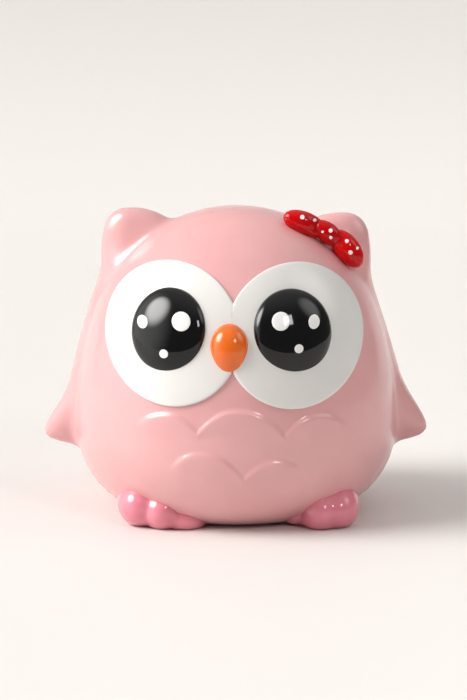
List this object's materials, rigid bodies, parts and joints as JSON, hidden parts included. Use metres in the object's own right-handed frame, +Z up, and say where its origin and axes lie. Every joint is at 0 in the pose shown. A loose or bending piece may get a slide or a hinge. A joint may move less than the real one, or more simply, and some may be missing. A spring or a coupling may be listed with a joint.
{
  "type": "coin bank",
  "caption": "Glossy ceramic owl coin bank with big eyes, a bow at one ear, a coin slot behind the head and a soft stopper in the base.",
  "frame": {"origin": "on the table under the middle of the body, which is the centre of the foot ring", "axes": "+Z up, -Y the way the owl faces, +X towards the owl's own left wing"},
  "size_m": [0.1198, 0.1018, 0.0957],
  "materials": {
    "pink_glaze": "gloss pale pink glaze",
    "white_glaze": "gloss white glaze",
    "black_glaze": "gloss black glaze",
    "white_paint": "gloss white dots under clear glaze",
    "orange_glaze": "gloss orange glaze",
    "rose_glaze": "gloss deep pink glaze",
    "red_glaze": "gloss red glaze",
    "stopper_rubber": "soft matt translucent PVC"
  },
  "bodies": {
    "bank": {"body_shell": "pink_glaze", "right_eye_disc": "white_glaze", "left_eye_disc": "white_glaze", "right_pupil": "black_glaze", "left_pupil": "black_glaze", "right_pupil_dots": "white_paint", "left_pupil_dots": "white_paint", "beak": "orange_glaze", "right_foot": "rose_glaze", "left_foot": "rose_glaze", "bow_knot": "red_glaze", "bow_inner_loop": "red_glaze", "bow_outer_loop": "red_glaze", "bow_dots": "white_paint"},
    "stopper": {"stopper": "stopper_rubber"}
  },
  "joints": [
    {"name": "stopper_pull", "type": "slide", "parent": "bank", "child": "stopper", "axis": [0, 0, -1], "range_m": [0, 0.025]}
  ]
}
